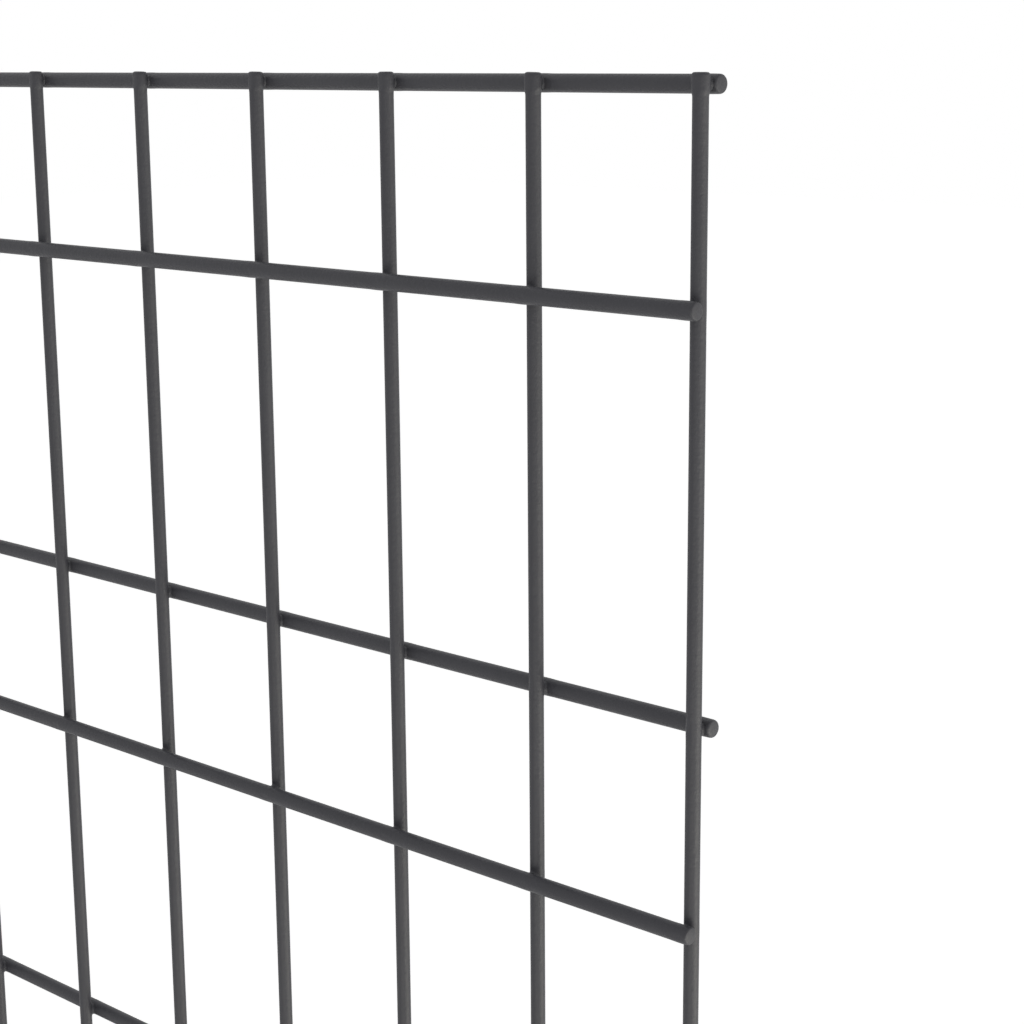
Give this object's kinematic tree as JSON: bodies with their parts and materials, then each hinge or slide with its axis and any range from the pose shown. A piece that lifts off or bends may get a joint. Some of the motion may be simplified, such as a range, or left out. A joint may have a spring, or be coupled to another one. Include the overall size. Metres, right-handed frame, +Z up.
{
  "type": "welded mesh fence panel",
  "caption": "Flat decorative fence panel of round welded wires: even vertical wires, and horizontal wires in close pairs, one behind and one in front of them, powder coated anthracite.",
  "frame": {"origin": "middle of the bottom edge, at the cut ends of the vertical wires and in the plane of their axes", "axes": "+X along the panel's width, to the right as seen from the front; +Y from the front to the back, through the panel's thickness; +Z up"},
  "size_m": [2.0058, 0.0124, 1.2553],
  "materials": {
    "anthracite_powder_coat": "satin, fine-textured polyester powder coat over galvanised steel wire"
  },
  "bodies": {
    "root": {"vertical_wire_01": "anthracite_powder_coat", "vertical_wire_02": "anthracite_powder_coat", "vertical_wire_03": "anthracite_powder_coat", "vertical_wire_04": "anthracite_powder_coat", "vertical_wire_05": "anthracite_powder_coat", "vertical_wire_06": "anthracite_powder_coat", "vertical_wire_07": "anthracite_powder_coat", "vertical_wire_08": "anthracite_powder_coat", "vertical_wire_09": "anthracite_powder_coat", "vertical_wire_10": "anthracite_powder_coat", "vertical_wire_11": "anthracite_powder_coat", "vertical_wire_12": "anthracite_powder_coat", "vertical_wire_13": "anthracite_powder_coat", "vertical_wire_14": "anthracite_powder_coat", "vertical_wire_15": "anthracite_powder_coat", "vertical_wire_16": "anthracite_powder_coat", "vertical_wire_17": "anthracite_powder_coat", "vertical_wire_18": "anthracite_powder_coat", "vertical_wire_19": "anthracite_powder_coat", "vertical_wire_20": "anthracite_powder_coat", "vertical_wire_21": "anthracite_powder_coat", "vertical_wire_22": "anthracite_powder_coat", "vertical_wire_23": "anthracite_powder_coat", "vertical_wire_24": "anthracite_powder_coat", "vertical_wire_25": "anthracite_powder_coat", "vertical_wire_26": "anthracite_powder_coat", "vertical_wire_27": "anthracite_powder_coat", "vertical_wire_28": "anthracite_powder_coat", "vertical_wire_29": "anthracite_powder_coat", "vertical_wire_30": "anthracite_powder_coat", "vertical_wire_31": "anthracite_powder_coat", "vertical_wire_32": "anthracite_powder_coat", "vertical_wire_33": "anthracite_powder_coat", "vertical_wire_34": "anthracite_powder_coat", "vertical_wire_35": "anthracite_powder_coat", "vertical_wire_36": "anthracite_powder_coat", "vertical_wire_37": "anthracite_powder_coat", "vertical_wire_38": "anthracite_powder_coat", "vertical_wire_39": "anthracite_powder_coat", "vertical_wire_40": "anthracite_powder_coat", "vertical_wire_41": "anthracite_powder_coat", "back_wire_01": "anthracite_powder_coat", "back_wire_02": "anthracite_powder_coat", "back_wire_03": "anthracite_powder_coat", "back_wire_04": "anthracite_powder_coat", "back_wire_05": "anthracite_powder_coat", "back_wire_06": "anthracite_powder_coat", "back_wire_07": "anthracite_powder_coat", "back_wire_08": "anthracite_powder_coat", "back_wire_09": "anthracite_powder_coat", "front_wire_01": "anthracite_powder_coat", "front_wire_02": "anthracite_powder_coat", "front_wire_03": "anthracite_powder_coat", "front_wire_04": "anthracite_powder_coat", "front_wire_05": "anthracite_powder_coat", "front_wire_06": "anthracite_powder_coat", "front_wire_07": "anthracite_powder_coat", "front_wire_08": "anthracite_powder_coat", "front_wire_09": "anthracite_powder_coat"}
  },
  "joints": []
}
